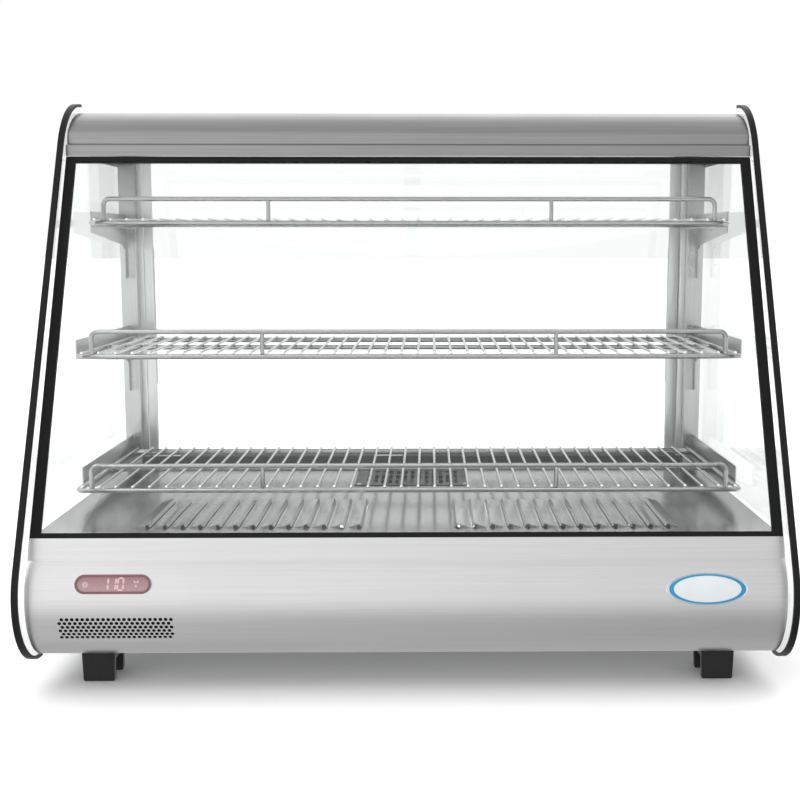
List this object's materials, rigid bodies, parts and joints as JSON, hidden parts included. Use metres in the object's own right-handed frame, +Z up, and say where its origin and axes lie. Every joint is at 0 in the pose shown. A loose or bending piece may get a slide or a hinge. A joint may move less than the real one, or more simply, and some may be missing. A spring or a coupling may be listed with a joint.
{
  "type": "hot food display case",
  "caption": "Counter-top heated display case with a sloped glass front, clear sides, lift-out wire shelves, sliding rear doors and a fan-heated base.",
  "frame": {"origin": "centre of the footprint, on the surface that the feet stand on", "axes": "+X to the right seen from the front, +Y from the sloped front to the rear doors, +Z up"},
  "size_m": [0.861, 0.568, 0.685],
  "materials": {
    "case_steel": "brushed along the width, satin",
    "inner_steel": "plain galvanised sheet",
    "deck_steel": "bright, lightly polished",
    "cap_steel": "brushed along the width, satin",
    "ceiling_steel": "satin",
    "post_steel": "satin",
    "bracket_steel": "satin",
    "chrome_wire": "plated",
    "clear_glass": "clear, tempered",
    "edge_rubber": "semi-gloss black",
    "gasket_rubber": "matt black",
    "track_plastic": "black extrusion",
    "stile_aluminium": "anodised",
    "glide_plastic": "natural nylon",
    "foot_plastic": "black moulded",
    "zinc_screw": "zinc plated",
    "lens_plastic": "tinted red",
    "bezel_plastic": "dark red rim",
    "controller_plastic": "moulded",
    "badge_metal": "plain oval plate",
    "grille_paint": "black powder coat",
    "fan_plastic": "black moulded",
    "heater_tube": "heat tinted",
    "switch_plastic": "black moulded",
    "rocker_plastic": "black",
    "lamp_paint": "white",
    "lamp_board": "white board",
    "diffuser_plastic": "opal"
  },
  "bodies": {
    "case": {"base_front_panel": "case_steel", "base_side_left": "case_steel", "base_side_right": "case_steel", "base_rear_panel": "case_steel", "base_pan": "inner_steel", "heater_tray": "inner_steel", "deck_plate": "deck_steel", "top_cap": "cap_steel", "ceiling_panel": "ceiling_steel", "upright_left": "post_steel", "upright_right": "post_steel", "bracket_lower_left": "bracket_steel", "bracket_lower_right": "bracket_steel", "bracket_middle_left": "bracket_steel", "bracket_middle_right": "bracket_steel", "bracket_top_left": "bracket_steel", "bracket_top_right": "bracket_steel", "front_glass": "clear_glass", "side_glass_left": "clear_glass", "side_glass_right": "clear_glass", "side_trim_left": "edge_rubber", "side_trim_right": "edge_rubber", "front_glass_gasket": "gasket_rubber", "door_track_top": "track_plastic", "door_track_bottom": "track_plastic", "door_jamb_left": "stile_aluminium", "door_jamb_right": "stile_aluminium", "foot_front_left": "foot_plastic", "foot_front_right": "foot_plastic", "foot_rear_left": "foot_plastic", "foot_rear_right": "foot_plastic", "foot_screws": "zinc_screw", "display_lens": "lens_plastic", "display_bezel": "bezel_plastic", "controller_box": "controller_plastic", "terminal_block": "controller_plastic", "badge_plate": "badge_metal", "fan_grille": "grille_paint", "fan_frame": "fan_plastic", "heater_elements": "heater_tube", "switch_housings": "switch_plastic", "cable_gland": "switch_plastic", "lamp_housing": "lamp_paint", "lamp_board": "lamp_board", "lamp_diffuser": "diffuser_plastic"},
    "door_left": {"door_left_glass": "clear_glass", "door_left_stile": "stile_aluminium", "door_left_glides": "glide_plastic"},
    "door_right": {"door_right_glass": "clear_glass", "door_right_stile": "stile_aluminium", "door_right_glides": "glide_plastic"},
    "shelf_lower": {"shelf_lower_grid": "chrome_wire", "shelf_lower_guard": "chrome_wire"},
    "shelf_middle": {"shelf_middle_grid": "chrome_wire", "shelf_middle_guard": "chrome_wire"},
    "shelf_top": {"shelf_top_grid": "chrome_wire", "shelf_top_guard": "chrome_wire"},
    "fan_rotor": {"fan_rotor": "fan_plastic"},
    "power_rocker": {"power_rocker": "rocker_plastic"},
    "light_rocker": {"light_rocker": "rocker_plastic"}
  },
  "joints": [
    {"name": "door_left_slide", "type": "slide", "parent": "case", "child": "door_left", "axis": [1, 0, 0], "range_m": [0, 0.36]},
    {"name": "door_right_slide", "type": "slide", "parent": "case", "child": "door_right", "axis": [-1, 0, 0], "range_m": [0, 0.36]},
    {"name": "shelf_lower_lift", "type": "slide", "parent": "case", "child": "shelf_lower", "axis": [0, 0, 1], "range_m": [0, 0.02]},
    {"name": "shelf_middle_lift", "type": "slide", "parent": "case", "child": "shelf_middle", "axis": [0, 0, 1], "range_m": [0, 0.02]},
    {"name": "shelf_top_lift", "type": "slide", "parent": "case", "child": "shelf_top", "axis": [0, 0, 1], "range_m": [0, 0.02]},
    {"name": "fan_spin", "type": "hinge", "parent": "case", "child": "fan_rotor", "pos_m": [0, 0.131, 0.16], "axis": [0, 0, 1], "continuous": true},
    {"name": "power_rocker_tilt", "type": "hinge", "parent": "case", "child": "power_rocker", "pos_m": [-0.3, 0.272, 0.112], "axis": [1, 0, 0], "range_deg": [0, 24]},
    {"name": "light_rocker_tilt", "type": "hinge", "parent": "case", "child": "light_rocker", "pos_m": [-0.25, 0.272, 0.112], "axis": [1, 0, 0], "range_deg": [0, 24]}
  ]
}
